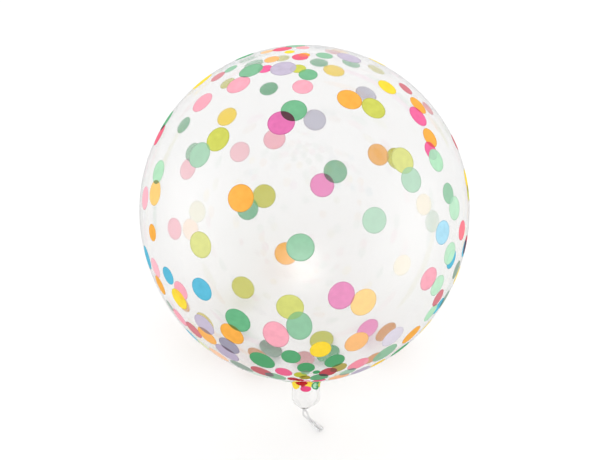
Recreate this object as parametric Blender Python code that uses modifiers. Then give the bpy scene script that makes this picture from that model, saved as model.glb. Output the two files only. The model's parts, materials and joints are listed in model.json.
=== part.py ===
"""Polka dot bubble balloon, blown up and lying on a flat surface.

A round bulb of clear film runs into a short neck, which is gathered in pleats to a pinch and
ends in a thin twisted tail. All of it is one film, so it is one solid, and because the balloon
is sealed the solid is full. The printed dots are colour alone, so they have no shape here.

The origin is the middle of the small flat spot that the bulb rests on, and +Z is up. The neck
points down towards -Y, as far as it can turn before the tail would touch the surface.
"""

import bmesh
import bpy
from math import atan2, cos, pi, radians, sin, sqrt
from mathutils import Euler, Vector
from mathutils.geometry import interpolate_bezier

# Driving sizes, in metres and degrees
BULB_DIAMETER = 0.400
NECK_DRAW = 0.0085  # how far the neck draws the film out of round, at the neck's axis
NECK_DRAW_SPREAD = 85.0  # angle from the neck's axis at which the film is round again
NECK_WIDTH = 0.0340
NECK_LENGTH = 0.0220  # straight part, from the bulb to the shoulder
NECK_OFFSET = 0.0015  # sideways, because the blown neck isn't quite on the bulb's axis
NECK_FLARE = 0.0015  # widening of the neck where it meets the bulb
SHOULDER_LENGTH = 0.0130  # from the straight part down to the pinch
PLEAT_COUNT = 9
PLEAT_DEPTH = 0.0011  # half the height of a pleat at the middle of the shoulder
PINCH_DIAMETER = 0.0046
TAIL_DROP = 0.0255  # length of the tail along the neck's axis
TAIL_SWAY = 0.0200  # how far the tail's tip swings sideways
TAIL_WIDTH = 0.0075
TAIL_THICKNESS = 0.0030
TAIL_TWIST = 150.0
REST_SPOT_DIAMETER = 0.044
TABLE_CLEARANCE = 0.0015  # left under the tail

# Fineness of the surfaces
TURN_STEPS = 72
PROFILE_STEPS = 36
POINTS_PER_PLEAT = 5
NECK_RINGS = 4
SHOULDER_RINGS = 8
TAIL_RINGS = 16

# Shape of the tail's bend: its two Bezier handles, as shares of the sway and of the drop
TAIL_HANDLES = ((0.0, 0.40), (0.45, 0.55))
SHOULDER_POWER = 1.5  # over 1, so that the shoulder is full at the top and steep at the pinch
BOTTOM_ROUNDS = 12  # repeats in finding the bulb's lowest point, which settles in a few
TILT_ROUNDS = 40  # halvings in finding the tilt

bulb_radius = BULB_DIAMETER / 2
neck_radius = NECK_WIDTH / 2
drawn_radius = bulb_radius + NECK_DRAW
neck_start = sqrt(drawn_radius**2 - neck_radius**2)  # from the bulb's centre, along its axis
shoulder_start = neck_start + NECK_LENGTH
pinch_start = shoulder_start + SHOULDER_LENGTH
spot_depth = bulb_radius - sqrt(bulb_radius**2 - (REST_SPOT_DIAMETER / 2) ** 2)


def clear_scene():
    for obj in list(bpy.data.objects):
        bpy.data.objects.remove(obj, do_unlink=True)


def new_collection(name):
    collection = bpy.data.collections.new(name)
    bpy.context.scene.collection.children.link(collection)
    return collection


def new_object(name, mesh, collection):
    obj = bpy.data.objects.new(name, mesh)
    collection.objects.link(obj)
    return obj


def clear_film():
    """Thin clear plastic film: colourless, very smooth and glossy."""
    material = bpy.data.materials.new("clear_film")
    material.use_nodes = True
    shader = material.node_tree.nodes["Principled BSDF"]
    shader.inputs["Base Color"].default_value = (0.93, 0.94, 0.95, 1.0)
    shader.inputs["Roughness"].default_value = 0.04
    shader.inputs["Metallic"].default_value = 0.0
    shader.inputs["IOR"].default_value = 1.47
    shader.inputs["Alpha"].default_value = 0.25
    return material


def film_radius(angle):
    """Distance of the film from the bulb's centre, at an angle in radians from the neck's axis."""
    spread = radians(NECK_DRAW_SPREAD)
    if angle >= spread:
        return bulb_radius
    return bulb_radius + NECK_DRAW * cos(pi / 2 * angle / spread) ** 2


def film_slope(angle):
    """Change of film_radius with the angle."""
    spread = radians(NECK_DRAW_SPREAD)
    if angle >= spread:
        return 0.0
    return -NECK_DRAW * pi / (2 * spread) * sin(pi * angle / spread)


def make_bulb(material, collection):
    """The bulb: half an outline from the crown down to the neck, turned about its own Z axis."""
    bulb = bmesh.new()
    points = []
    for step in range(PROFILE_STEPS + 1):
        angle = pi * (1 - step / PROFILE_STEPS)
        on_axis = step in (0, PROFILE_STEPS)
        across = 0.0 if on_axis else film_radius(angle) * sin(angle)
        points.append(bulb.verts.new((across, 0.0, -film_radius(angle) * cos(angle))))
    for upper, lower in zip(points, points[1:]):
        bulb.edges.new((upper, lower))
    mesh = bpy.data.meshes.new("balloon")
    bulb.to_mesh(mesh)
    bulb.free()
    mesh.materials.append(material)
    balloon = new_object("balloon", mesh, collection)
    turn = balloon.modifiers.new("turned", "SCREW")
    turn.axis = "Z"
    turn.steps = TURN_STEPS
    turn.render_steps = TURN_STEPS
    turn.use_merge_vertices = True
    turn.merge_threshold = 0.00001
    turn.use_smooth_shade = True
    return balloon


def ring(centre, side, front, half_side, half_front, turn, pleat):
    """One closed section: an oval of the two half sizes, turned in its plane and pleated."""
    points = []
    count = PLEAT_COUNT * POINTS_PER_PLEAT
    for step in range(count):
        angle = 2 * pi * step / count
        swell = pleat * cos(PLEAT_COUNT * angle)
        along_side = (half_side + swell) * cos(angle)
        along_front = (half_front + swell) * sin(angle)
        turned_side = along_side * cos(turn) - along_front * sin(turn)
        turned_front = along_side * sin(turn) + along_front * cos(turn)
        points.append(centre + side * turned_side + front * turned_front)
    return points


def neck_rings():
    """Sections of the neck and its shoulder, from inside the bulb down to the pinch."""
    side = Vector((1.0, 0.0, 0.0))
    front = Vector((0.0, -1.0, 0.0))
    buried = neck_start - neck_radius / 2
    rings = [
        ring(Vector((NECK_OFFSET, 0.0, -buried)), side, front, neck_radius, neck_radius, 0.0, 0.0)
    ]
    for step in range(NECK_RINGS):
        share = step / NECK_RINGS
        down = neck_start + NECK_LENGTH * share
        radius = neck_radius + NECK_FLARE * (1 - share) ** 4
        pleat = PLEAT_DEPTH / 2 * share
        rings.append(
            ring(Vector((NECK_OFFSET, 0.0, -down)), side, front, radius, radius, 0.0, pleat)
        )
    for step in range(SHOULDER_RINGS):
        share = step / SHOULDER_RINGS
        down = shoulder_start + SHOULDER_LENGTH * share
        closing = share**SHOULDER_POWER
        radius = neck_radius + (PINCH_DIAMETER / 2 - neck_radius) * closing
        pleat = PLEAT_DEPTH * (0.5 + 2 * share * (1 - share))
        centre = Vector((NECK_OFFSET * (1 - closing), 0.0, -down))
        rings.append(ring(centre, side, front, radius, radius, 0.0, pleat))
    return rings


def tail_path():
    """Points along the middle of the tail, which bends sideways in the plane of X and Z."""
    start = Vector((0.0, 0.0, -pinch_start))
    reach = Vector((TAIL_SWAY, 0.0, -TAIL_DROP))
    first, second = (
        start + Vector((reach.x * across, 0.0, reach.z * down)) for across, down in TAIL_HANDLES
    )
    return interpolate_bezier(start, first, second, start + reach, TAIL_RINGS + 1)


def tail_rings():
    """Sections of the flat tail, which widens out of the pinch and twists as it goes."""
    path = tail_path()
    front = Vector((0.0, -1.0, 0.0))
    rings = []
    for step, centre in enumerate(path):
        before = path[max(step - 1, 0)]
        after = path[min(step + 1, TAIL_RINGS)]
        side = front.cross(after - before).normalized()
        share = step / TAIL_RINGS
        opening = min(1.0, 3.0 * share)
        width = PINCH_DIAMETER + (TAIL_WIDTH - PINCH_DIAMETER) * opening
        thickness = PINCH_DIAMETER + (TAIL_THICKNESS - PINCH_DIAMETER) * opening
        turn = radians(TAIL_TWIST) * share
        rings.append(ring(centre, side, front, width / 2, thickness / 2, turn, 0.0))
    return rings


def loft(name, rings, material, collection):
    """A closed skin over the sections, with a flat face on the first and on the last."""
    skin = bmesh.new()
    levels = [[skin.verts.new(point) for point in points] for points in rings]
    count = len(levels[0])
    for upper, lower in zip(levels, levels[1:]):
        for step in range(count):
            after = (step + 1) % count
            skin.faces.new((upper[step], lower[step], lower[after], upper[after]))
    skin.faces.new(levels[0])
    skin.faces.new(levels[-1])
    bmesh.ops.recalc_face_normals(skin, faces=skin.faces)
    mesh = bpy.data.meshes.new(name)
    skin.to_mesh(mesh)
    skin.free()
    mesh.materials.append(material)
    mesh.shade_smooth()
    return new_object(name, mesh, collection)


def make_table(collection):
    """A block under the surface that the balloon lies on. It cuts the flat spot."""
    block = bmesh.new()
    bmesh.ops.create_cube(block, size=BULB_DIAMETER)
    bmesh.ops.translate(block, verts=block.verts, vec=(0.0, 0.0, -BULB_DIAMETER / 2))
    mesh = bpy.data.meshes.new("table_block")
    block.to_mesh(mesh)
    block.free()
    return new_object("table_block", mesh, collection)


def bulb_bottom(tilt):
    """The bulb's lowest point, as its depth below the centre and its distance towards the neck.

    The drawn film leans, so that its lowest point isn't quite under the centre. The tilt is the
    neck's angle below the horizontal.
    """
    straight_down = pi / 2 - tilt
    angle = straight_down
    for _ in range(BOTTOM_ROUNDS):
        angle = straight_down + atan2(film_slope(angle), film_radius(angle))
    lean = straight_down - angle
    return film_radius(angle) * cos(lean), film_radius(angle) * sin(lean)


def room_below(points, tilt):
    """Height over the table of the lowest of these points, given in the bulb's own axes."""
    depth, _ = bulb_bottom(tilt)
    lowest = min(point.z * sin(tilt) - point.y * cos(tilt) for point in points)
    return depth - spot_depth + lowest


def rest_tilt(points):
    """The neck's angle below the horizontal when the lowest of these points clears the table.

    The points sink as the neck turns down, so the tilt is found by halving between level and
    straight down.
    """
    level, turned = 0.0, pi / 2
    for _ in range(TILT_ROUNDS):
        middle = (level + turned) / 2
        if room_below(points, middle) > TABLE_CLEARANCE:
            level = middle
        else:
            turned = middle
    return level


def hide_helper(obj):
    obj.hide_render = True
    obj.display_type = "WIRE"


def join(target, other, operation):
    boolean = target.modifiers.new(other.name, "BOOLEAN")
    boolean.operation = operation
    boolean.object = other
    boolean.solver = "EXACT"


def main():
    clear_scene()
    parts = new_collection("polka_dot_balloon")
    helpers = new_collection("helpers")
    film = clear_film()

    rings = neck_rings() + tail_rings()
    balloon = make_bulb(film, parts)
    neck = loft("neck_and_tail", rings, film, helpers)
    table = make_table(helpers)

    axis = new_object("bulb_centre", None, parts)
    tilt = rest_tilt([point for points in rings for point in points])
    depth, towards_neck = bulb_bottom(tilt)
    axis.location = (0.0, towards_neck, depth - spot_depth)
    axis.rotation_euler = Euler((tilt - pi / 2, 0.0, 0.0))
    balloon.parent = axis
    neck.parent = axis

    join(balloon, neck, "UNION")
    join(balloon, table, "DIFFERENCE")
    hide_helper(neck)
    hide_helper(table)


main()
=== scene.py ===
"""Looks of the polka dot bubble balloon: clear glossy film, printed dots, studio and camera.

The shapes are worked out in the balloon's own axes. Their origin is the middle of the bulb, the
neck points down -Z, and the camera stands at -Y, so x and z there are right and up in the picture.
"""

import json
from itertools import combinations
from math import asin, atan2, cos, hypot, pi, radians, sin, sqrt

import bmesh
import bpy
from mathutils import Matrix, Vector, noise
from mathutils.geometry import interpolate_bezier


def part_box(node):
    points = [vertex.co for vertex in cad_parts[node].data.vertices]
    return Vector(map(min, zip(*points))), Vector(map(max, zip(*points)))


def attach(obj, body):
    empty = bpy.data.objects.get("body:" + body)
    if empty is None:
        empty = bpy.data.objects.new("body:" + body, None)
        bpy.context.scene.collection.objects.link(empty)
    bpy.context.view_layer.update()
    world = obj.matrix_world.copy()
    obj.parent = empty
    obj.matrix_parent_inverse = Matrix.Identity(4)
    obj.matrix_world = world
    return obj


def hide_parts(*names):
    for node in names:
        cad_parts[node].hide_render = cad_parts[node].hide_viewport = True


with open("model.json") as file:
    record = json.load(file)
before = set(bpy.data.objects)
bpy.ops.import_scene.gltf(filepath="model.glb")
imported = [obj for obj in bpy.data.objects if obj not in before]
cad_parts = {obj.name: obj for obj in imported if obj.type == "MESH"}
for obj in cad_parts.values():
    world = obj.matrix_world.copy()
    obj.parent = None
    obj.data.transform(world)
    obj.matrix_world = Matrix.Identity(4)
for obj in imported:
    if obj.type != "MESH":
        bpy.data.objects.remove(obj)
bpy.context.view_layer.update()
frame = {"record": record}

MM = 0.001

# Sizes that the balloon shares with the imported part, in metres and degrees
NECK_DRAW = 0.0085
NECK_DRAW_SPREAD = 85.0
NECK_WIDTH = 0.0340
NECK_LENGTH = 0.0220
NECK_OFFSET = 0.0015
NECK_FLARE = 0.0015
SHOULDER_LENGTH = 0.0130
SHOULDER_POWER = 1.5
PLEAT_COUNT = 9
PLEAT_DEPTH = 0.0011
PINCH_DIAMETER = 0.0046
TAIL_DROP = 0.0255
TAIL_SWAY = 0.0200
TAIL_HANDLES = ((0.0, 0.40), (0.45, 0.55))

# Drawn pleats: size, number of waves round the neck and phase of the swings that make them
# uneven, the same for their height, and how they change down the shoulder
PLEAT_SWINGS = ((0.45, 2, 0.8), (0.25, 3, 2.1))
PLEAT_HEIGHT_SWING = (0.22, 4, 1.3)
SHOULDER_SWELL = 2.2  # deepens them by a quarter of this halfway down
PINCH_LOSS = 0.55  # share of their depth that they lose on the way to the pinch

# The tail's two strands, in metres, degrees and shares of the tail's length. They lie within
# the part's flat twisted tail of 7.5 by 3 mm
STRAND_WIDTH = 2.2 * MM
STRAND_SPREAD = 2.6 * MM  # how much wider a strand is at its end
STRAND_THINNING = 0.5 * MM
STRAND_APART = 1.0 * MM  # from the tail's middle line to a strand's
LOOP_APART = 1.7 * MM  # added where the strands part under the pinch
LOOP_SHARE = 0.45
END_APART = 1.2 * MM  # added at their end
LARGE_RIDGE, SMALL_RIDGE = 0.15, 0.08  # heights as shares of a strand's half width
RIDGE_WIND = 5.0  # radians by which the large ridges wind round a strand
LARGE_FRAY, SMALL_FRAY = 0.7, 0.5  # mm
FRAY_SHARE = 0.2  # of the tail, over which its end frays
STRAND_LEAN = 25.0
STRAND_TWIST = 140.0
TAIL_STEPS = 56
TAIL_RINGS = 60

# Film
WALL = 0.20 * MM  # drawn thicker than the real film, so that its two skins stay apart
FLOOR_GAP = 0.20 * MM  # under the flat spot, so that the dots printed there clear the floor
FLAT_SOFTNESS = 0.30 * MM  # how softly the film bends into the flat spot
WOBBLE = 0.14 * MM  # slow unevenness of the blown film
WOBBLE_SCALE = 2.3
BULB_PLEAT = 0.28 * MM  # height of the pleats where they run out of the neck into the bulb
BULB_PLEAT_REACH = 26.0  # angle from the neck's axis at which they have faded
JOIN_ANGLE = 10.0  # angle from the neck's axis at which the bulb's rings hand over to the neck's
FILLET = 4.0 * MM  # round between the bulb and the neck
SHUT_WIDTH = 7.0 * MM  # where the shoulder is narrower, its inside has closed
TURN_STEPS = 216
BULB_RINGS = 108
NECK_RINGS = 46
OUTLINE_STEPS = 24  # in the neck's outline, along the bulb and again along the shoulder
FILLET_STEPS = 10
NECK_STEPS = 12

BULB_TINT = (0.930, 0.929, 0.927)
NECK_TINT = (0.950, 0.950, 0.952)
TAIL_TINT = (0.700, 0.700, 0.705)
BUMP_HEIGHT = 0.6 * MM
FILM_BUMP = (9.0, 2.0, 0.12)  # scale and detail of the noise, and strength
TAIL_BUMP = (420.0, 3.0, 0.6)

# Camera and photograph
PHOTO_WIDTH, PHOTO_HEIGHT = 613, 460
BULB_MIDDLE = (304.5, 210.4)  # pixel of the photograph at which the bulb's centre shows
BULB_RADIUS_PX = 165.3
CAMERA_DISTANCE = 1.60
SENSOR_WIDTH = 36.0  # mm
SIGHT_ROUNDS = 8  # in finding where a pixel's ray meets the drawn film

# Printed dots
DOT_DIAMETER = 0.029
INK_OUT = 0.06 * MM  # how far a dot's outer and inner face stand off the film's outer skin
INK_IN = -0.04 * MM
LAYER_OUT = 0.02 * MM  # added for each dot under it
LAYER_IN = -0.01 * MM
OVERPRINT_OUT = 0.14 * MM
OVERPRINT_IN = -0.10 * MM
MERIDIAN_STRETCH = 0.45  # a dot at the neck is longer than wide by this share of its width
STRETCH_REACH = 75.0  # angle from the neck's axis at which the dots are round again
DOT_RINGS = 5
DOT_STEPS = 40
TOUCH_REACH = 1.2  # dots further apart than this share of their two half lengths don't meet
OVERLAP_STEPS = 200  # how finely two dots' rims are compared
OVERLAP_POINTS = 48  # most points of an overlap's own border
OVERLAP_LEAST = 8  # an overlap with fewer points than this isn't drawn
PRODUCT_POWER = 0.85  # lightens the product of two inks

DEEP_FROM, DEEP_TO = 25.0, 50.0  # angles from the neck's axis between which the ink thins out
DEEP_INK = 1.4  # power of an ink's colour where it lies thick
THIN_INK_AND_REFLECTION = (0.95, 0.95, 0.95)  # what an ink's colour nears where it lies thin, and where a painted reflection of the light panels washes it out
CLOUD_NOISE = (130.0, 3.0)  # scale and detail
CLOUD_SPAN = (0.30, 0.75)  # values of the noise at which the two tones are reached
CLOUD_TONES = (0.93, 1.05)  # shares of the ink's colour between which it is cloudy
CLOUD_LIFT = 0.008
RIM_FROM = 0.90  # share of a dot's radius from which its rim darkens
RIM_TONE, RIM_WEIGHT = 0.72, 0.75

# Studio
SKY_RADIANCE = 1.30
GLOSS_RADIANCE = 0.96  # what reflections show above and below the horizon
LOW_GLOSS_RADIANCE = 0.92
FLOOR_RADIUS = 12.0
FLOOR_TONE = 0.84
BACKDROP_RADIANCE = SKY_RADIANCE * FLOOR_TONE  # the lit floor's, so that no horizon shows
HORIZON_SOFTNESS = 0.10  # depth under the horizon over which the reflections change
PANEL_FADE = 0.50  # share of each side of a panel over which its light fades out
PANEL_SOFTNESS = 2.0  # power of that fading

bulb_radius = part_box("balloon")[1][0]
neck_radius = NECK_WIDTH / 2
pinch_radius = PINCH_DIAMETER / 2
neck_start = sqrt((bulb_radius + NECK_DRAW) ** 2 - neck_radius**2)
shoulder_start = neck_start + NECK_LENGTH
pinch_start = shoulder_start + SHOULDER_LENGTH

tie = next(mount for mount in frame["record"]["mounts"] if mount["name"] == "neck_tie")
neck_axis = Vector(tie["axis"]).normalized()
bulb_centre = Vector(tie["pos_m"]) - neck_axis * pinch_start
to_world = Matrix.Translation(bulb_centre) @ Matrix.Rotation(
    asin(-neck_axis.z) - pi / 2, 4, "X"
)
down_the_neck = Vector((0.0, 0.0, -1.0))


def smooth(value):
    """0 to 1 with soft ends."""
    value = min(max(value, 0.0), 1.0)
    return value * value * (3 - 2 * value)


# Shape of the film


def drawn_radius(angle):
    """Distance of the film from the bulb's centre, at an angle in radians from the neck's axis."""
    spread = radians(NECK_DRAW_SPREAD)
    if angle >= spread:
        return bulb_radius
    return bulb_radius + NECK_DRAW * cos(pi / 2 * angle / spread) ** 2


def drawn_point(angle):
    """The film at that angle, as a point (out, down) from the bulb's centre."""
    radius = drawn_radius(angle)
    return radius * sin(angle), radius * cos(angle)


def pleat_wave(turn):
    """Height of the pleats round the neck, from -1 to 1, a little uneven."""
    swing = sum(size * sin(count * turn + phase) for size, count, phase in PLEAT_SWINGS)
    size, count, phase = PLEAT_HEIGHT_SWING
    return cos(PLEAT_COUNT * turn + swing) * (1 - size + size * sin(count * turn + phase))


def film_distance(direction):
    """Distance of the film's outer skin from the bulb's centre, on the bulb."""
    angle = direction.angle(down_the_neck)
    turn = atan2(direction.y, direction.x)
    even = smooth((angle - radians(JOIN_ANGLE)) / radians(JOIN_ANGLE))
    wobble = WOBBLE * even * noise.noise(direction * WOBBLE_SCALE)
    fade = 1 - smooth(angle / radians(BULB_PLEAT_REACH))
    return drawn_radius(angle) + wobble + BULB_PLEAT * fade * pleat_wave(turn)


def neck_outline():
    """Outline of the bulb's last part, the neck and its shoulder, as points (out, down)."""
    fillet_out = neck_radius + FILLET
    fillet_angle = asin(fillet_out / (bulb_radius + NECK_DRAW))
    first = radians(2 * JOIN_ANGLE)
    points = [
        drawn_point(first + (fillet_angle - first) * step / OUTLINE_STEPS)
        for step in range(OUTLINE_STEPS)
    ]
    before = Vector(drawn_point(fillet_angle))
    corner = Vector((neck_radius + NECK_FLARE / 2, neck_start))
    after = Vector((neck_radius, neck_start + FILLET + NECK_FLARE))
    for step in range(FILLET_STEPS + 1):
        share = step / FILLET_STEPS
        point = before.lerp(corner, share).lerp(corner.lerp(after, share), share)
        points.append((point.x, point.y))
    for step in range(1, NECK_STEPS + 1):
        down = after.y + (shoulder_start - after.y) * step / NECK_STEPS
        points.append((neck_radius, down))
    for step in range(1, OUTLINE_STEPS + 1):
        share = step / OUTLINE_STEPS
        out = neck_radius + (pinch_radius - neck_radius) * share**SHOULDER_POWER
        points.append((out, shoulder_start + SHOULDER_LENGTH * share))
    return points


class Meridian:
    """The neck's outline by its length, counted from where the bulb meets the neck."""

    def __init__(self, points):
        self.points = points
        lengths = [0.0]
        for here, there in zip(points, points[1:]):
            lengths.append(lengths[-1] + hypot(there[0] - here[0], there[1] - here[1]))
        start = min(range(len(points)), key=lambda index: abs(points[index][1] - neck_start))
        self.lengths = [length - lengths[start] for length in lengths]

    def at(self, length):
        """Point (out, down) and outward slope there."""
        index = 1
        while index < len(self.lengths) - 1 and self.lengths[index] < length:
            index += 1
        low, high = self.lengths[index - 1], self.lengths[index]
        share = (length - low) / (high - low)
        (out_a, down_a), (out_b, down_b) = self.points[index - 1], self.points[index]
        out, down = out_b - out_a, down_b - down_a
        along = Vector((out, down)).normalized()
        normal = Vector((along.y, -along.x))
        return Vector((out_a + out * share, down_a + down * share)), normal


meridian = Meridian(neck_outline())


def neck_pleat(down):
    """Height of the pleats at a distance down the neck."""
    if down < neck_start:
        angle = asin(min(1.0, sqrt(max((bulb_radius + NECK_DRAW) ** 2 - down**2, 0.0)) / down))
        return BULB_PLEAT * (1 - smooth(angle / radians(BULB_PLEAT_REACH)))
    if down < shoulder_start:
        share = (down - neck_start) / NECK_LENGTH
        return BULB_PLEAT + (PLEAT_DEPTH / 2 - BULB_PLEAT) * share
    share = (down - shoulder_start) / SHOULDER_LENGTH
    swell = 0.5 + SHOULDER_SWELL * share * (1 - share)
    return PLEAT_DEPTH * swell * (1 - PINCH_LOSS * share)


def neck_middle(down):
    """Sideways place of the neck's middle, which comes back to the axis at the pinch."""
    into_neck = smooth((down - neck_start + NECK_LENGTH) / NECK_LENGTH)
    closing = max(down - shoulder_start, 0.0) / SHOULDER_LENGTH
    return NECK_OFFSET * into_neck * (1 - closing**SHOULDER_POWER)


def neck_point(length, turn, offset=0.0):
    """Point of the neck's outer skin, by the length along it and the turn round it."""
    place, normal = meridian.at(length)
    place = place + normal * (offset + neck_pleat(place.y) * pleat_wave(turn))
    return Vector(
        (neck_middle(place.y) + place.x * cos(turn), place.x * sin(turn), -place.y)
    )


def flattened(point):
    """The point in the world, pressed up where the film lies on the floor."""
    point = to_world @ point
    above = point.z - FLOOR_GAP
    point.z = FLOOR_GAP + (above + sqrt(above**2 + FLAT_SOFTNESS**2)) / 2
    return point


def bulb_point(direction, offset=0.0):
    """Point in the world of the bulb's outer skin, or off it by an offset."""
    outward = to_world.to_3x3() @ direction
    return flattened(direction * film_distance(direction)) + outward * offset


# Film


def tail_rings(side):
    """Sections of one of the tail's two strands, gathered film with ridges along it.

    The strands start together at the pinch, part for a short way and close up again. side is
    1 for the right one and -1 for the left one.
    """
    start = Vector((0.0, 0.0, -pinch_start))
    reach = Vector((TAIL_SWAY, 0.0, -TAIL_DROP))
    handles = [
        start + Vector((reach.x * across, 0.0, reach.z * down)) for across, down in TAIL_HANDLES
    ]
    path = interpolate_bezier(start, *handles, start + reach, TAIL_RINGS + 1)
    front = Vector((0.0, -1.0, 0.0))
    rings = []
    for step in range(TAIL_RINGS + 1):
        share = step / TAIL_RINGS
        along = (path[min(step + 1, TAIL_RINGS)] - path[max(step - 1, 0)]).normalized()
        aside = front.cross(along)
        loop = sin(pi * min(share / LOOP_SHARE, 1.0)) ** 2
        spread = smooth((share - LOOP_SHARE) / (1 - LOOP_SHARE))
        apart = STRAND_APART + LOOP_APART * loop + END_APART * spread
        lean = radians(STRAND_LEAN) * share
        middle_of_strand = path[step] + (aside * cos(lean) + front * sin(lean)) * apart * side
        width = STRAND_WIDTH + STRAND_SPREAD * spread
        thickness = STRAND_WIDTH - STRAND_THINNING * spread
        twist = radians(STRAND_TWIST) * share * side
        ring = []
        for index in range(TAIL_STEPS):
            turn = 2 * pi * index / TAIL_STEPS
            ridge = LARGE_RIDGE * sin(4 * turn + RIDGE_WIND * share)
            ridge += SMALL_RIDGE * sin(9 * turn + side)
            across = width / 2 * cos(turn) * (1 + ridge)
            through = thickness / 2 * sin(turn) * (1 + ridge)
            frayed = LARGE_FRAY * sin(3 * turn + 0.7 + side) + SMALL_FRAY * sin(8 * turn)
            frayed *= MM * smooth((share - (1 - FRAY_SHARE)) / FRAY_SHARE)
            ring.append(
                middle_of_strand
                + aside * (across * cos(twist) - through * sin(twist))
                + front * (across * sin(twist) + through * cos(twist))
                + along * frayed
            )
        rings.append([flattened(point) for point in ring])
    return rings


def outer_rings():
    """The film's outer skin, from the crown to the pinch, in the world."""
    rings = []
    last_angle = radians(JOIN_ANGLE)
    for step in range(1, BULB_RINGS + 1):
        angle = pi + (last_angle - pi) * step / BULB_RINGS
        ring = []
        for index in range(TURN_STEPS):
            turn = 2 * pi * index / TURN_STEPS
            direction = Vector((sin(angle) * cos(turn), sin(angle) * sin(turn), -cos(angle)))
            ring.append(bulb_point(direction))
        rings.append(ring)
    join_down = drawn_radius(last_angle) * cos(last_angle)
    first = next(
        length for length, point in zip(meridian.lengths, meridian.points) if point[1] > join_down
    )
    for step in range(1, NECK_RINGS + 1):
        length = first + (meridian.lengths[-1] - first) * step / NECK_RINGS
        turns = (2 * pi * index / TURN_STEPS for index in range(TURN_STEPS))
        rings.append([flattened(neck_point(length, turn)) for turn in turns])
    return rings


def inner_rings(rings, crown):
    """The film's inner skin: the outer one moved in along its own normal."""
    inner = []
    for index in range(len(rings) - 1):
        before = rings[index - 1] if index else [crown] * TURN_STEPS
        here, after = rings[index], rings[index + 1]
        ring = []
        for step in range(TURN_STEPS):
            across = here[(step + 1) % TURN_STEPS] - here[step - 1]
            along = after[step] - before[step]
            ring.append(here[step] + across.cross(along).normalized() * WALL)
        inner.append(ring)
    return inner


def skin(mesh, rings, first, last, turned):
    """Faces over rings, closed by a point at each end."""
    levels = [[mesh.verts.new(point) for point in ring] for ring in rings]
    ends = [mesh.verts.new(first), mesh.verts.new(last)]

    def face(*corners):
        mesh.faces.new(corners[::-1] if turned else corners)

    count = len(rings[0])
    for step in range(count):
        after = (step + 1) % count
        face(ends[0], levels[0][step], levels[0][after])
        for upper, lower in zip(levels, levels[1:]):
            face(upper[step], lower[step], lower[after], upper[after])
        face(levels[-1][step], ends[1], levels[-1][after])


def make_film():
    """Bulb, neck and shoulder, closed at the pinch, with an outer and an inner skin."""
    up_axis = Vector((0.0, 0.0, 1.0))
    crown = bulb_point(up_axis)
    outer = outer_rings()
    inner = inner_rings(outer, crown)
    shut = next(
        index for index in range(BULB_RINGS + 1, len(inner)) if width(inner[index]) < SHUT_WIDTH
    )
    mesh = bmesh.new()
    skin(mesh, outer, crown, middle(outer[-1]), False)
    skin(mesh, inner[:shut], bulb_point(up_axis, -WALL), middle(inner[shut]), True)
    from_world = to_world.inverted()
    for face in mesh.faces:
        face.material_index = (from_world @ face.calc_center_median()).z < -neck_start
    materials = [film_material("clear_film", BULB_TINT), film_material("clear_neck", NECK_TINT)]
    film = finish_mesh(mesh, "film", materials)
    film.visible_shadow = False
    film.visible_diffuse = False
    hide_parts("balloon")
    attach(film, "root")


def make_tail():
    """The gathered and twisted tail."""
    mesh = bmesh.new()
    for side in (-1, 1):
        rings = tail_rings(side)
        skin(mesh, rings, middle(rings[0]), middle(rings[-1]), False)
    tail = finish_mesh(mesh, "tail", [tail_material()])
    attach(tail, "root")


def middle(points):
    return sum(points, Vector()) / len(points)


def width(ring):
    return (ring[0] - ring[len(ring) // 2]).length


def finish_mesh(mesh, name, materials):
    data = bpy.data.meshes.new(name)
    mesh.to_mesh(data)
    mesh.free()
    data.shade_smooth()
    for material in materials:
        data.materials.append(material)
    piece = bpy.data.objects.new(name, data)
    bpy.context.scene.collection.objects.link(piece)
    return piece


# Camera


def make_camera():
    """The camera, which looks down on the balloon as the photograph shows it."""
    focal_px = BULB_RADIUS_PX * sqrt(CAMERA_DISTANCE**2 - bulb_radius**2) / bulb_radius
    local = to_world.to_3x3()
    eye = to_world @ Vector((0.0, -CAMERA_DISTANCE, 0.0))
    aside = (PHOTO_WIDTH / 2 - BULB_MIDDLE[0]) / focal_px * CAMERA_DISTANCE
    below = (PHOTO_HEIGHT / 2 - BULB_MIDDLE[1]) / focal_px * CAMERA_DISTANCE
    aim = to_world @ Vector((aside, 0.0, -below))
    forward = (aim - eye).normalized()
    right = forward.cross(local @ Vector((0.0, 0.0, 1.0))).normalized()
    up = right.cross(forward)
    data = bpy.data.cameras.new("camera")
    data.sensor_width = SENSOR_WIDTH
    data.lens = focal_px * SENSOR_WIDTH / PHOTO_WIDTH
    camera = bpy.data.objects.new("camera", data)
    axes = Matrix((right, up, -forward)).transposed().to_4x4()
    camera.matrix_world = Matrix.Translation(eye) @ axes
    bpy.context.scene.collection.objects.link(camera)
    bpy.context.scene.camera = camera
    return eye, right, up, forward, focal_px


FRONT, BACK = -1, 1


def seen_film(x, y, side):
    """Direction, from the bulb's centre, of the film at a pixel of the photograph.

    The front film is the nearer one along the pixel's ray. A pixel just outside the bulb's
    outline takes the nearest point of the outline.
    """
    eye, right, up, forward, focal_px = view
    across = (x - PHOTO_WIDTH / 2) / focal_px
    above = (PHOTO_HEIGHT / 2 - y) / focal_px
    from_world = to_world.inverted()
    start = from_world @ eye
    ray = (from_world.to_3x3() @ (forward + right * across + up * above)).normalized()
    radius = bulb_radius
    for _ in range(SIGHT_ROUNDS):
        nearest = start.dot(ray)
        inside = nearest**2 - start.length_squared + radius**2
        point = start - ray * nearest
        if inside > 0:
            point += ray * side * sqrt(inside)
        direction = point.normalized()
        radius = drawn_radius(direction.angle(down_the_neck))
    return direction
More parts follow.
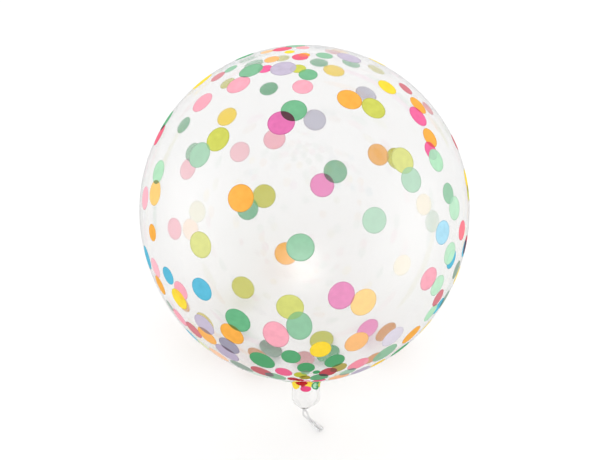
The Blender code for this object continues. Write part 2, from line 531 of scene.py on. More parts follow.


# Printed dots
# Each bulb dot: ink, side of the bulb, pixel of the photograph at its middle, width as a share
# of DOT_DIAMETER, and for some how pale the ink is, from thin ink and from a painted reflection
# of the light panels, and a further stretch down the bulb
BULB_DOTS = [
    # The crown
    ("rose", FRONT, 282.2, 48.9, 0.80),
    ("green", FRONT, 295.5, 45.9, 0.80, 0.20),
    ("orange", FRONT, 267.0, 51.7, 0.55, 0.25),
    ("coral", FRONT, 302.7, 47.6, 0.55, 0.25),
    ("green", FRONT, 244.6, 56.4, 0.80),
    ("green", BACK, 247.0, 59.0, 0.74),
    ("orange", FRONT, 271.8, 59.3, 0.62, 0.12),
    ("lime", BACK, 282.0, 57.9, 0.66),
    ("rose", FRONT, 300.2, 56.8, 0.66),
    ("lavender", BACK, 319.5, 46.8, 0.70),
    ("green", FRONT, 324.5, 55.4, 0.68, 0.18),
    ("lavender", FRONT, 349.2, 57.5, 1.00, 0.04),
    ("green", BACK, 351.3, 63.0, 0.82),
    ("green", BACK, 319.1, 62.3, 0.80),
    ("yellow", BACK, 334.0, 70.2, 0.96),
    ("lime", BACK, 376.5, 69.2, 0.80),
    ("yellow", FRONT, 377.4, 61.8, 0.80),
    ("green", FRONT, 250.8, 70.2, 1.00, 0.10),
    ("magenta", FRONT, 265.2, 68.9, 0.58),
    ("lavender", FRONT, 283.1, 68.2, 1.03),
    ("lime", FRONT, 298.2, 68.6, 0.62),
    ("green", FRONT, 308.1, 74.4, 0.74, 0.06),
    ("green", FRONT, 230.7, 68.8, 0.57, 0.20),
    ("crimson", FRONT, 217.8, 76.5, 0.66, 0.21),
    ("yellow", FRONT, 202.1, 81.3, 1.00),
    ("lime", BACK, 227.3, 83.0, 0.73),
    ("pink", FRONT, 238.3, 84.4, 1.00),
    ("green", BACK, 268.8, 88.5, 0.84, 0.00, 1.04),
    ("pink", FRONT, 302.7, 86.6, 0.80),
    ("yellow", FRONT, 387.3, 87.0, 0.82),
    ("crimson", FRONT, 405.7, 88.5, 0.68, 0.13),
    ("pink", FRONT, 202.2, 102.2, 0.97),
    # The upper half
    ("orange", FRONT, 349.6, 99.2, 1.00),
    ("lavender", BACK, 366.2, 94.0, 1.00),
    ("lime", FRONT, 373.7, 107.9, 1.00),
    ("orange", FRONT, 418.3, 105.2, 0.86),
    ("dusk", FRONT, 428.0, 108.2, 0.66),
    ("magenta", FRONT, 418.3, 116.1, 0.93),
    ("green", FRONT, 293.9, 110.3, 1.00, 0.04),
    ("orchid", FRONT, 281.1, 122.7, 1.05),
    ("lavender", BACK, 314.8, 119.7, 1.05, 0.00, 1.10),
    ("pink", BACK, 274.4, 138.9, 1.05, 0.06),
    ("yellow", BACK, 226.8, 116.5, 1.00),
    ("green", BACK, 183.5, 124.9, 0.83),
    ("green", FRONT, 166.3, 120.6, 0.95),
    ("rose", FRONT, 159.2, 134.8, 0.95),
    ("lime", FRONT, 217.7, 139.1, 1.02),
    ("green", FRONT, 199.3, 154.8, 1.04, 0.26),
    ("pink", BACK, 187.5, 168.8, 1.00, 0.22),
    ("pink", BACK, 239.6, 151.7, 1.00, 0.26),
    ("orange", FRONT, 430.2, 137.6, 0.84),
    ("magenta", FRONT, 431.0, 150.5, 0.75),
    ("mint", FRONT, 436.4, 160.2, 0.93),
    ("orange", BACK, 378.4, 154.5, 1.08, 0.06),
    ("lime", BACK, 396.5, 158.5, 1.05),
    ("lime", FRONT, 402.8, 160.4, 1.05, 0.14),
    ("green", FRONT, 411.5, 179.8, 1.00, 0.34),
    ("green", BACK, 335.5, 171.5, 1.13, 0.12),
    ("orchid", BACK, 322.2, 185.1, 1.15, 0.06),
    ("crimson", FRONT, 454.8, 142.2, 0.70),
    ("yellow", FRONT, 466.6, 180.5, 0.95),
    # The middle
    ("mint", FRONT, 158.1, 171.9, 0.97),
    ("apricot", FRONT, 154.6, 192.8, 1.02, 0.12),
    ("pink", FRONT, 144.8, 198.0, 0.95, 0.12),
    ("orange", FRONT, 240.6, 198.1, 1.05),
    ("lime", BACK, 264.0, 196.1, 1.13),
    ("green", BACK, 247.4, 208.5, 1.08, 0.06),
    ("lime", BACK, 197.0, 211.6, 1.00, 0.78),
    ("orange", BACK, 190.3, 229.5, 1.00, 0.72),
    ("lime", FRONT, 200.2, 244.9, 1.04, 0.14),
    ("pink", BACK, 174.2, 228.8, 1.00, 0.12),
    ("orange", FRONT, 152.3, 232.6, 0.70),
    ("green", FRONT, 448.5, 193.3, 0.84, 0.20),
    ("mint", FRONT, 454.8, 208.2, 0.97, 0.10),
    ("yellow", BACK, 424.1, 204.5, 1.00, 0.80),
    ("green", BACK, 432.8, 221.3, 1.00, 0.70),
    ("green", FRONT, 374.6, 220.3, 1.00, 0.36),
    ("sky", FRONT, 443.0, 232.6, 0.97),
    ("coral", FRONT, 462.1, 230.4, 0.82),
    ("green", FRONT, 300.4, 247.5, 1.06, 0.16),
    ("orange", BACK, 286.0, 253.6, 1.10),
    ("yellow", BACK, 402.3, 265.3, 1.00, 0.82),
    ("mint", FRONT, 450.1, 253.5, 0.93, 0.10),
    ("blue", FRONT, 451.5, 259.4, 0.80),
    ("sage", FRONT, 456.5, 269.9, 0.80),
    ("yellow", FRONT, 457.0, 275.4, 0.80),
    ("crimson", FRONT, 465.4, 244.8, 0.80),
    # The lower half
    ("blue", FRONT, 147.2, 257.5, 1.00),
    ("pink", FRONT, 155.3, 267.7, 0.84, 0.16),
    ("orange", FRONT, 160.1, 285.2, 0.84),
    ("blue", FRONT, 168.0, 275.7, 0.76),
    ("pink", FRONT, 180.6, 290.6, 0.80),
    ("yellow", FRONT, 179.0, 299.0, 0.92),
    ("amber", BACK, 182.3, 303.0, 0.90),
    ("blue", FRONT, 201.5, 289.4, 0.97),
    ("lime", BACK, 242.8, 287.7, 1.14, 0.00, 0.96),
    ("orchid", FRONT, 341.5, 295.8, 1.04, 0.13, 1.12),
    ("apricot", FRONT, 363.7, 302.5, 1.05, 0.20, 1.10),
    ("pink", FRONT, 429.0, 279.0, 0.98),
    ("mint", FRONT, 437.7, 285.6, 0.90, 0.12),
    ("crimson", FRONT, 438.3, 298.0, 0.76, 0.13),
    ("mint", FRONT, 431.0, 313.0, 0.80),
    ("blue", FRONT, 438.7, 306.2, 0.75),
    ("lime", FRONT, 290.0, 307.3, 1.06, 0.08),
    ("green", FRONT, 299.3, 326.4, 1.00, 0.15, 1.30),
    ("pink", FRONT, 275.8, 335.0, 1.02, 0.00, 1.22),
    ("green", FRONT, 237.6, 320.6, 1.05),
    ("orange", FRONT, 231.8, 334.2, 1.00),
    ("olive", BACK, 204.7, 321.7, 0.90),
    ("lavender", FRONT, 204.0, 324.8, 0.95),
    ("orange", FRONT, 206.8, 335.9, 0.88, 0.06),
    ("pink", FRONT, 179.8, 317.6, 0.82),
    ("crimson", FRONT, 193.7, 330.0, 0.80, 0.14),
    ("slate", FRONT, 229.0, 346.0, 0.86, 0.08),
    ("lavender", FRONT, 227.0, 353.1, 0.97),
    ("orange", FRONT, 218.8, 355.0, 0.80, 0.35),
    ("sage", BACK, 270.6, 349.0, 1.00),
    ("amber", BACK, 257.8, 355.2, 0.85),
    ("green", FRONT, 262.1, 360.8, 1.00),
    ("green", FRONT, 291.0, 357.0, 0.77),
    ("dusk", BACK, 304.2, 359.2, 0.93),
    ("green", FRONT, 306.0, 367.9, 0.71),
    ("sage", FRONT, 241.5, 366.5, 0.85, 0.15),
    ("crimson", FRONT, 262.1, 371.9, 0.87, 0.10),
    ("magenta", FRONT, 283.6, 372.2, 0.68, 0.06),
    ("lime", BACK, 321.7, 340.6, 1.08, 0.00, 0.92),
    ("yellow", FRONT, 320.6, 349.7, 0.84),
    ("green", BACK, 328.3, 354.1, 1.00),
    ("green", FRONT, 334.7, 361.2, 0.80),
    ("crimson", FRONT, 328.0, 372.3, 0.72, 0.03),
    ("olive", FRONT, 338.6, 367.9, 0.66, 0.06),
    ("pink", FRONT, 358.2, 364.4, 0.83),
    ("amber", FRONT, 372.4, 358.5, 0.72, 0.14),
    ("green", FRONT, 385.2, 353.3, 1.00, 0.20),
    ("orange", FRONT, 356.7, 342.2, 0.97, 0.14),
    ("orchid", BACK, 367.9, 329.1, 1.00, 0.08),
    ("amber", BACK, 386.1, 332.3, 0.97),
    ("lavender", FRONT, 393.0, 337.0, 0.97, 0.32),
    ("orange", FRONT, 411.6, 335.0, 0.88),
    ("green", FRONT, 400.2, 349.6, 0.80),
    ("yellow", FRONT, 425.8, 326.6, 0.70),
    ("yellow", FRONT, 378.0, 363.2, 0.55),
    ("lavender", FRONT, 360.8, 370.4, 0.70, 0.10),
    ("orange", FRONT, 338.8, 377.0, 0.76, 0.22),
    ("green", FRONT, 347.8, 371.9, 0.62, 0.30),
    # Smaller ones, and ones that show only in part
    ("green", BACK, 253.6, 63.8, 0.88),
    ("crimson", BACK, 333.0, 51.5, 0.70),
    ("orange", BACK, 341.0, 50.8, 0.70),
    ("green", BACK, 192.6, 152.0, 0.90, 0.22),
    ("blue", FRONT, 464.2, 248.4, 0.75),
    ("sage", FRONT, 169.8, 305.6, 0.50, 0.15),
    ("blue", FRONT, 192.6, 336.0, 0.70, 0.15),
    ("lime", FRONT, 203.5, 345.2, 0.60, 0.40),
    ("green", FRONT, 258.2, 374.6, 0.75, 0.60),
    ("green", FRONT, 275.6, 376.6, 0.80, 0.20),
    ("sage", FRONT, 444.6, 299.4, 0.80),
    ("green", BACK, 238.0, 321.0, 0.95),
    ("lime", FRONT, 468.2, 193.0, 0.65),
    ("crimson", FRONT, 293.1, 379.2, 0.46),
    ("magenta", FRONT, 319.0, 380.4, 0.51),
    ("green", FRONT, 319.2, 377.4, 0.74, 0.06),
    ("lime", FRONT, 300.4, 375.1, 0.53),
    ("olive", FRONT, 305.0, 377.6, 0.45),
    ("green", FRONT, 305.5, 372.5, 0.35, 0.25),
    ("green", FRONT, 316.4, 372.2, 0.30),
    ("green", FRONT, 287.6, 381.7, 0.40),
    ("orange", FRONT, 304.3, 54.8, 0.46),
    ("yellow", FRONT, 289.5, 51.9, 0.42),
    ("scarlet", FRONT, 299.6, 380.2, 0.36),
    # Guessed ones on the back, which front ones hide in the photograph
    ("lavender", BACK, 418.3, 116.1, 0.90),
    ("green", BACK, 430.2, 137.6, 0.81),
    ("pink", BACK, 436.4, 160.2, 0.90),
    ("crimson", BACK, 448.5, 193.3, 0.81),
    ("orange", BACK, 454.8, 208.2, 0.94),
    ("yellow", BACK, 443.0, 232.6, 0.94),
    ("lime", BACK, 450.1, 253.5, 0.90),
    ("green", BACK, 429.0, 279.0, 0.89),
    ("orchid", BACK, 387.3, 87.0, 0.80),
    ("orange", BACK, 283.1, 68.2, 1.00),
    ("blue", BACK, 238.3, 84.4, 0.97),
    ("yellow", BACK, 202.2, 102.2, 0.94),
    ("magenta", BACK, 158.1, 171.9, 0.94),
    ("green", BACK, 154.6, 192.8, 0.99),
    ("crimson", BACK, 201.5, 289.4, 0.94),
    ("lavender", BACK, 168.0, 275.7, 0.74),
    ("pink", BACK, 231.8, 334.2, 0.97),
]

# Each neck dot: ink, turn round the neck in degrees (0 to the right, -90 to the front), way
# down from where the bulb meets the neck, width and length, these three in mm, and how deep
# the ink is
NECK_DOTS = [
    ("yellow", -137, 5.0, 13.0, 10.0, 0.0),
    ("yellow", -79, 3.0, 10.0, 10.5, 0.0),
    ("scarlet", -107, 1.2, 14.5, 7.6, 1.0),
    ("scarlet", -101, 5.4, 5.0, 8.4, 1.0),
    ("magenta", -90, 9.0, 13.5, 7.2, 1.0),
    ("green", -41, 4.8, 15.2, 11.6, 1.0),
    ("mint", -48, 5.2, 6.8, 7.0, 0.3),
    ("lime", -8, 4.2, 13.0, 8.8, 0.0),
]

# Linear colours of each ink, from outside the bulb and from inside it. Most inside colours are
# lighter copies of the outside ones, a painted glow of light shining through the ink from behind
INKS = {
    "green": ((0.115, 0.400, 0.195), (0.140, 0.430, 0.240)),
    "mint": ((0.400, 0.680, 0.460), (0.400, 0.680, 0.460)),
    "lime": ((0.540, 0.560, 0.085), (0.560, 0.560, 0.085)),
    "olive": ((0.450, 0.380, 0.050), (0.620, 0.500, 0.060)),
    "sage": ((0.250, 0.350, 0.280), (0.280, 0.400, 0.320)),
    "yellow": ((0.860, 0.640, 0.035), (0.960, 0.700, 0.030)),
    "orange": ((0.830, 0.380, 0.050), (0.880, 0.420, 0.060)),
    "amber": ((0.600, 0.290, 0.090), (0.640, 0.270, 0.050)),
    "apricot": ((0.860, 0.500, 0.060), (0.900, 0.520, 0.070)),
    "coral": ((0.880, 0.190, 0.240), (0.880, 0.240, 0.280)),
    "pink": ((0.830, 0.350, 0.430), (0.900, 0.440, 0.530)),
    "dusk": ((0.620, 0.340, 0.350), (0.600, 0.340, 0.350)),
    "rose": ((0.780, 0.120, 0.200), (0.780, 0.160, 0.240)),
    "scarlet": ((0.560, 0.012, 0.022), (0.560, 0.020, 0.030)),
    "crimson": ((0.540, 0.065, 0.100), (0.600, 0.100, 0.150)),
    "magenta": ((0.780, 0.120, 0.300), (0.850, 0.150, 0.330)),
    "orchid": ((0.660, 0.140, 0.370), (0.830, 0.200, 0.520)),
    "lavender": ((0.500, 0.440, 0.560), (0.540, 0.540, 0.650)),
    "slate": ((0.270, 0.250, 0.340), (0.270, 0.250, 0.340)),
    "blue": ((0.080, 0.430, 0.600), (0.100, 0.450, 0.620)),
    "sky": ((0.360, 0.640, 0.780), (0.360, 0.640, 0.780)),
}

# Colour where two inks lie over each other; other pairs take the product of the two
OVERPRINTS = {
    ("amber", "green"): (0.130, 0.400, 0.200),
    ("amber", "pink"): (0.830, 0.350, 0.430),
    ("apricot", "mint"): (0.170, 0.230, 0.050),
    ("apricot", "orchid"): (0.500, 0.060, 0.070),
    ("blue", "mint"): (0.400, 0.720, 0.500),
    ("crimson", "green"): (0.060, 0.012, 0.020),
    ("crimson", "orange"): (0.620, 0.060, 0.040),
    ("green", "lime"): (0.160, 0.400, 0.080),
    ("green", "magenta"): (0.120, 0.380, 0.190),
    ("green", "mint"): (0.220, 0.520, 0.320),
    ("green", "orange"): (0.150, 0.190, 0.030),
    ("green", "orchid"): (0.060, 0.006, 0.018),
    ("green", "pink"): (0.110, 0.110, 0.110),
    ("green", "rose"): (0.030, 0.014, 0.016),
    ("green", "yellow"): (0.170, 0.250, 0.050),
    ("lavender", "lime"): (0.460, 0.420, 0.500),
    ("lavender", "magenta"): (0.490, 0.400, 0.530),
    ("lavender", "orange"): (0.310, 0.200, 0.190),
    ("lavender", "slate"): (0.130, 0.085, 0.140),
    ("lime", "orange"): (0.600, 0.340, 0.050),
    ("lime", "yellow"): (0.340, 0.300, 0.040),
    ("magenta", "mint"): (0.360, 0.600, 0.420),
    ("magenta", "orange"): (0.680, 0.070, 0.090),
    ("mint", "pink"): (0.200, 0.060, 0.090),
    ("orange", "pink"): (0.760, 0.200, 0.100),
    ("orange", "rose"): (0.840, 0.180, 0.120),
    ("pink", "yellow"): (0.840, 0.540, 0.040),
}


class Dot:
    """A printed dot, an oval on the film with its own two directions."""

    def __init__(self, ink, side, x, y, share, thinness_and_reflection=0.0, stretch=1.0):
        self.ink = ink
        # Paleness from thin ink and from a painted reflection of the light panels
        self.thinness_and_reflection = thinness_and_reflection
        self.centre = seen_film(x, y, side)
        along = down_the_neck - self.centre * down_the_neck.dot(self.centre)
        self.along = along.normalized()
        self.across = self.centre.cross(self.along)
        angle = self.centre.angle(down_the_neck)
        near_neck = cos(pi / 2 * min(angle / radians(STRETCH_REACH), 1.0)) ** 2
        distance = film_distance(self.centre)
        self.half_across = DOT_DIAMETER * share / 2 / distance
        self.half_along = self.half_across * (1 + MERIDIAN_STRETCH * near_neck) * stretch
        self.thickness = 1 - smooth((angle - radians(DEEP_FROM)) / radians(DEEP_TO - DEEP_FROM))
        self.layer = 0

    def flat(self, direction):
        """The direction's place in the dot's own plane, where the dot is a circle of radius 1."""
        return Vector(
            (
                direction.dot(self.across) / sin(self.half_across),
                direction.dot(self.along) / sin(self.half_along),
            )
        )

    def direction(self, point):
        """Direction of a point of the dot's own plane."""
        aside = self.across * (point.x * self.half_across)
        aside += self.along * (point.y * self.half_along)
        reach = aside.length
        if reach == 0:
            return self.centre.copy()
        return self.centre * cos(reach) + aside.normalized() * sin(reach)

    def rim(self, steps=DOT_STEPS):
        turns = (2 * pi * step / steps for step in range(steps))
        return [Vector((cos(turn), sin(turn))) for turn in turns]

    def holds(self, direction):
        return direction.dot(self.centre) > 0 and self.flat(direction).length < 1

    def touches(self, other):
        reach = TOUCH_REACH * (self.half_along + other.half_along)
        if self.centre.angle(other.centre) >= reach:
            return False
        return any(other.holds(self.direction(point)) for point in self.rim(OVERLAP_STEPS))


def add_patch(mesh, rim, centre, place, offsets, thickness, thinness_and_reflection=0.0, material_index=0):
    """A thin closed patch of ink on the film.

    rim holds the patch's border points and centre its middle, in a plane that place(point,
    offset) lays on the film, and offsets are those of its outer and inner face. The mesh keeps
    how near each point is to the border, how deep the ink is, how pale it is from thin ink and
    from a painted reflection of the light panels, and which face looks into the bulb, each from
    0 to 1.
    """
    for name in ("rim", "thickness", "thinness_and_reflection", "inside"):
        if name not in mesh.verts.layers.float:
            mesh.verts.layers.float.new(name)
    layers = mesh.verts.layers.float

    def new_vert(point, offset, share, inside):
        vert = mesh.verts.new(place(point, offset))
        vert[layers["rim"]] = share
        vert[layers["thickness"]] = thickness
        vert[layers["thinness_and_reflection"]] = thinness_and_reflection
        vert[layers["inside"]] = inside
        return vert

    sides = []
    for inside, offset in enumerate(offsets):
        rings = []
        for ring in range(1, DOT_RINGS + 1):
            share = sqrt(ring / DOT_RINGS)
            ring_points = [centre.lerp(point, share) for point in rim]
            rings.append([new_vert(point, offset, share, inside) for point in ring_points])
        sides.append((new_vert(centre, offset, 0.0, inside), rings))
    count = len(rim)
    faces = []
    for (hub, rings), turned in zip(sides, (False, True)):
        for step in range(count):
            after = (step + 1) % count
            loops = [(hub, rings[0][step], rings[0][after])]
            for small, large in zip(rings, rings[1:]):
                loops.append((small[step], large[step], large[after], small[after]))
            for loop in loops:
                faces.append(mesh.faces.new(loop[::-1] if turned else loop))
    outer, inner = sides[0][1][-1], sides[1][1][-1]
    for step in range(count):
        after = (step + 1) % count
        faces.append(mesh.faces.new((outer[step], inner[step], inner[after], outer[after])))
    for face in faces:
        face.material_index = material_index


def overlap(first, second):
    """Border of the area where two dots lie over each other, in the first dot's plane."""
    border = first.rim(OVERLAP_STEPS)
    shared = [point for point in border if second.holds(first.direction(point))]
    for point in second.rim(OVERLAP_STEPS):
        direction = second.direction(point)
        if first.holds(direction):
            shared.append(first.flat(direction))
    if len(shared) < OVERLAP_LEAST:
        return None
    centre = sum(shared, Vector((0.0, 0.0))) / len(shared)
    shared.sort(key=lambda point: atan2(point.y - centre.y, point.x - centre.x))
    count = min(len(shared), OVERLAP_POINTS)
    return [shared[index * len(shared) // count] for index in range(count)], centre


def print_bulb_dots(pieces):
    """Lays every bulb dot on the film, and a darker patch where two on one side overlap."""
    dots = [Dot(*row) for row in BULB_DOTS]
    pairs = [(a, b) for a, b in combinations(dots, 2) if a.touches(b) or b.touches(a)]
    for lower, upper in pairs:
        upper.layer = max(upper.layer, lower.layer + 1)
    for dot in dots:
        add_patch(
            pieces[dot.ink],
            dot.rim(),
            Vector((0.0, 0.0)),
            lambda point, offset, dot=dot: bulb_point(dot.direction(point), offset),
            (INK_OUT + LAYER_OUT * dot.layer, INK_IN + LAYER_IN * dot.layer),
            dot.thickness,
            dot.thinness_and_reflection,
        )
    return pairs


def print_overprints(pairs):
    """The darker areas, one material for each pair of inks."""
    mesh = bmesh.new()
    materials = []
    numbers = {}
    for lower, upper in pairs:
        area = overlap(lower, upper)
        if area is None:
            continue
        inks = tuple(sorted((lower.ink, upper.ink)))
        if inks not in numbers:
            numbers[inks] = len(materials)
            outer_colours = (INKS[ink][0] for ink in inks)
            product = [pow(a * b, PRODUCT_POWER) for a, b in zip(*outer_colours)]
            colour = OVERPRINTS.get(inks, product)
            materials.append(ink_material("_over_".join(inks), colour, colour))
        add_patch(
            mesh,
            area[0],
            area[1],
            lambda point, offset, dot=lower: bulb_point(dot.direction(point), offset),
            (OVERPRINT_OUT, OVERPRINT_IN),
            lower.thickness,
            (lower.thinness_and_reflection + upper.thinness_and_reflection) / 2,
            material_index=numbers[inks],
        )
    piece = finish_mesh(mesh, "overprints", materials)
    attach(piece, "root")


def print_neck_dots(pieces):
    """Small dots on the neck, where the gathered film draws them together."""
    turns = [2 * pi * step / DOT_STEPS for step in range(DOT_STEPS)]
    rim = [Vector((cos(turn), -sin(turn))) for turn in turns]
    for number, (ink, turn, down, across, along, depth) in enumerate(NECK_DOTS):
        def place(point, offset, turn=radians(turn), down=down, across=across, along=along):
            length = (down + along / 2 * point.y) * MM
            around = turn + across / 2 * MM * point.x / neck_radius
            return flattened(neck_point(length, around, offset))

        add_patch(
            pieces[ink],
            rim,
            Vector((0.0, 0.0)),
            place,
            (INK_OUT + LAYER_OUT * number, INK_IN + LAYER_IN * number),
            depth,
        )


def make_dots():
    pieces = {ink: bmesh.new() for ink in INKS}
    pairs = print_bulb_dots(pieces)
    print_neck_dots(pieces)
    for ink, mesh in pieces.items():
        piece = finish_mesh(mesh, f"dots_{ink}", [ink_material(ink, *INKS[ink])])
        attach(piece, "root")
    print_overprints(pairs)


# Materials


def new_material(name):
    material = bpy.data.materials.new(name)
    material.use_nodes = True
    tree = material.node_tree
    return material, tree, tree.nodes["Principled BSDF"]


def plastic_material(name, tint, unevenness, roughness, ior, clearness):
    """Plastic film, uneven by a bump from a noise."""
    material, tree, shader = new_material(name)
    shader.inputs["Base Color"].default_value = (*tint, 1.0)
    shader.inputs["Roughness"].default_value = roughness
    shader.inputs["IOR"].default_value = ior
    shader.inputs["Transmission Weight"].default_value = clearness
    scale, detail, strength = unevenness
    waves = noise_on_object(tree, scale, detail)
    bump = tree.nodes.new("ShaderNodeBump")
    bump.inputs["Strength"].default_value = strength
    bump.inputs["Distance"].default_value = BUMP_HEIGHT
    tree.links.new(waves, bump.inputs["Height"])
    tree.links.new(bump.outputs["Normal"], shader.inputs["Normal"])
    return material


def film_material(name, tint):
    """Clear glossy film, all but colourless, with the faint unevenness of blown plastic."""
    return plastic_material(name, tint, FILM_BUMP, roughness=0.03, ior=1.45, clearness=1.0)


def tail_material():
    """Many layers of film pressed together, which let less light through, with fine creases."""
    return plastic_material(
        "gathered_film", TAIL_TINT, TAIL_BUMP, roughness=0.28, ior=1.40, clearness=0.40
    )


def noise_on_object(tree, scale, detail):
    place = tree.nodes.new("ShaderNodeTexCoord")
    texture = tree.nodes.new("ShaderNodeTexNoise")
    texture.inputs["Scale"].default_value = scale
    texture.inputs["Detail"].default_value = detail
    tree.links.new(place.outputs["Object"], texture.inputs["Vector"])
    return texture.outputs["Fac"]


def kept(tree, name):
    """What the mesh keeps under a name, from 0 to 1."""
    attribute = tree.nodes.new("ShaderNodeAttribute")
    attribute.attribute_name = name
    return attribute.outputs["Fac"]


def blend(tree, factor, source, colour):
    """A source's colour, mixed with a plain colour by a factor."""
    mix = tree.nodes.new("ShaderNodeMix")
    mix.data_type = "RGBA"
    mix.inputs["B"].default_value = (*colour, 1.0)
    tree.links.new(factor, mix.inputs["Factor"])
    tree.links.new(source, mix.inputs["A"])
    return mix.outputs["Result"]


def ink_material(name, colour, backlit_inner_colour):
    """Printed ink under the film's gloss.

    It is a little cloudy, brighter where it is seen from inside the bulb, a painted glow of the
    light behind it, deeper near the neck, where the film is less stretched and the ink lies
    thicker, darker at a dot's rim, and paler where the ink is thin and where a painted
    reflection of the light panels washes it out.
    """
    material, tree, shader = new_material(f"ink_{name}")
    tone = tree.nodes.new("ShaderNodeValToRGB")
    dark, light = tone.color_ramp.elements
    dark.position, light.position = CLOUD_SPAN
    dark.color = (*[c * CLOUD_TONES[0] for c in colour], 1.0)
    light.color = (*[min(c * CLOUD_TONES[1] + CLOUD_LIFT, 1.0) for c in colour], 1.0)
    tree.links.new(noise_on_object(tree, *CLOUD_NOISE), tone.inputs["Fac"])
    # Painted backlight: faces that look into the bulb take the lighter inside colour
    ink = blend(tree, kept(tree, "inside"), tone.outputs["Color"], backlit_inner_colour)
    ink = blend(tree, kept(tree, "thickness"), ink, [c**DEEP_INK for c in colour])
    edge = tree.nodes.new("ShaderNodeMapRange")
    edge.inputs["From Min"].default_value = RIM_FROM
    edge.inputs["To Max"].default_value = RIM_WEIGHT
    tree.links.new(kept(tree, "rim"), edge.inputs["Value"])
    ink = blend(tree, edge.outputs["Result"], ink, [c * RIM_TONE for c in colour])
    # Painted reflection: thin ink and dots in the panels' reflection both pale towards near-white
    ink = blend(tree, kept(tree, "thinness_and_reflection"), ink, THIN_INK_AND_REFLECTION)
    tree.links.new(ink, shader.inputs["Base Color"])
    shader.inputs["Roughness"].default_value = 0.35
    shader.inputs["Coat Weight"].default_value = 0.10
    shader.inputs["Coat Roughness"].default_value = 0.04
    shader.inputs["Coat IOR"].default_value = 3.0
    shader.inputs["Specular IOR Level"].default_value = 0.0
    return material


# Studio


def make_floor():
    """A wide pale floor."""
    mesh = bmesh.new()
    bmesh.ops.create_circle(mesh, cap_ends=True, segments=96, radius=FLOOR_RADIUS)
    material, tree, shader = new_material("pale_floor")
    shader.inputs["Base Color"].default_value = (FLOOR_TONE, FLOOR_TONE, FLOOR_TONE, 1.0)
    shader.inputs["Roughness"].default_value = 0.9
    shader.inputs["Specular IOR Level"].default_value = 0.1
    floor = finish_mesh(mesh, "floor", [material])
    floor.visible_glossy = False


def soft_panel(name, place, upward, size, radiance, inside):
    """A light panel with soft edges, which only reflections show.

    It stands at place and shines towards the bulb's middle, and its first side lies as near as
    can be along upward. inside says whether the film's inner faces mirror it too.
    """
    data = bpy.data.lights.new(name, "AREA")
    data.shape = "RECTANGLE"
    data.size, data.size_y = size
    data.energy = radiance * size[0] * size[1] * pi
    data.use_nodes = True
    nodes, links = data.node_tree.nodes, data.node_tree.links
    place_on_panel = nodes.new("ShaderNodeNewGeometry")
    sides = nodes.new("ShaderNodeSeparateXYZ")
    links.new(place_on_panel.outputs["Parametric"], sides.inputs["Vector"])
    strength = nodes.new("ShaderNodeMath")
    strength.operation = "MULTIPLY"
    for index, side in enumerate(("X", "Y")):
        edge = nodes.new("ShaderNodeMath")
        edge.operation = "PINGPONG"
        edge.inputs[1].default_value = 0.5
        links.new(sides.outputs[side], edge.inputs[0])
        fade = nodes.new("ShaderNodeMapRange")
        fade.interpolation_type = "SMOOTHSTEP"
        fade.inputs["From Max"].default_value = PANEL_FADE
        links.new(edge.outputs[0], fade.inputs["Value"])
        links.new(fade.outputs["Result"], strength.inputs[index])
    softer = nodes.new("ShaderNodeMath")
    softer.operation = "POWER"
    softer.inputs[1].default_value = PANEL_SOFTNESS
    links.new(strength.outputs[0], softer.inputs[0])
    links.new(softer.outputs[0], nodes["Emission"].inputs["Strength"])
    light = bpy.data.objects.new(name, data)
    back = (place - bulb_centre).normalized()
    first = (upward - back * back.dot(upward)).normalized()
    axes = Matrix((first, back.cross(first), back)).transposed().to_4x4()
    light.matrix_world = Matrix.Translation(place) @ axes
    light.visible_camera = False
    light.visible_diffuse = False
    light.visible_transmission = inside
    bpy.context.scene.collection.objects.link(light)


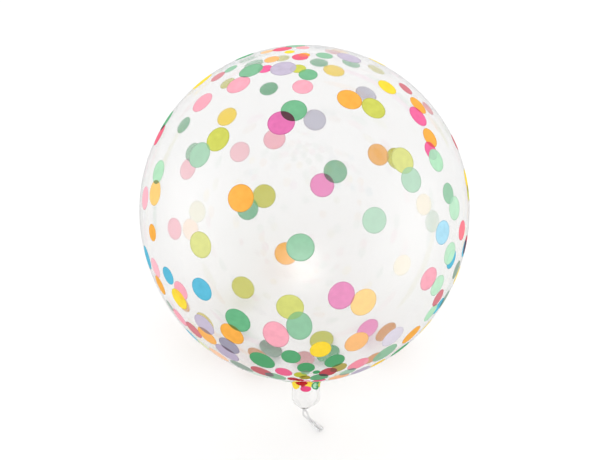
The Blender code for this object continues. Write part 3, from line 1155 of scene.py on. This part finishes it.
def make_sky():
    """Even white light, a backdrop as pale as the floor, and greyer reflections in the film."""
    world = bpy.data.worlds.new("studio")
    world.use_nodes = True
    nodes, links = world.node_tree.nodes, world.node_tree.links
    direction = nodes.new("ShaderNodeTexCoord")
    parts = nodes.new("ShaderNodeSeparateXYZ")
    links.new(direction.outputs["Generated"], parts.inputs["Vector"])
    radiance = nodes.new("ShaderNodeMapRange")
    radiance.interpolation_type = "SMOOTHSTEP"
    radiance.inputs["From Min"].default_value = -HORIZON_SOFTNESS
    radiance.inputs["From Max"].default_value = 0.0
    radiance.inputs["To Min"].default_value = LOW_GLOSS_RADIANCE
    radiance.inputs["To Max"].default_value = GLOSS_RADIANCE
    links.new(parts.outputs["Z"], radiance.inputs["Value"])
    path = nodes.new("ShaderNodeLightPath")
    mirrored = nodes.new("ShaderNodeMix")
    mirrored.inputs["A"].default_value = SKY_RADIANCE
    links.new(path.outputs["Is Glossy Ray"], mirrored.inputs["Factor"])
    links.new(radiance.outputs["Result"], mirrored.inputs["B"])
    seen = nodes.new("ShaderNodeMath")
    seen.operation = "MAXIMUM"
    links.new(path.outputs["Is Camera Ray"], seen.inputs[0])
    links.new(path.outputs["Is Transmission Ray"], seen.inputs[1])
    strength = nodes.new("ShaderNodeMix")
    strength.inputs["B"].default_value = BACKDROP_RADIANCE
    links.new(seen.outputs[0], strength.inputs["Factor"])
    links.new(mirrored.outputs["Result"], strength.inputs["A"])
    background = nodes["Background"]
    background.inputs["Color"].default_value = (1.0, 1.0, 1.0, 1.0)
    links.new(strength.outputs["Result"], background.inputs["Strength"])
    bpy.context.scene.world = world


# The panels that the film mirrors: name, way to it from the bulb's middle in the balloon's own
# axes, distance, height and width, and its radiance, first in the faces that look at it alone
# and then in the film's inner faces too
PANELS = [
    ("right_panel", (0.927, -0.325, -0.188), 1.1, (3.00, 2.30), 1.7, 0.3),
    ("left_panel", (-0.954, -0.300, -0.031), 1.1, (2.80, 2.40), 1.7, 0.3),
    ("front_panel", (-0.015, -0.833, -0.553), 1.3, (1.25, 1.25), 5.5, 1.0),
]


def make_studio():
    make_floor()
    make_sky()
    from_balloon = to_world.to_3x3()
    picture_up = from_balloon @ Vector((0.0, 0.0, 1.0))
    for name, way, distance, size, radiance, inner_radiance in PANELS:
        place = bulb_centre + from_balloon @ Vector(way).normalized() * distance
        soft_panel(name, place, picture_up, size, radiance, False)
        soft_panel(f"{name}_inner", place, picture_up, size, inner_radiance, True)
    bpy.context.scene.view_settings.view_transform = "Standard"


view = make_camera()
make_film()
make_tail()
make_dots()
make_studio()

bpy.context.view_layer.update()
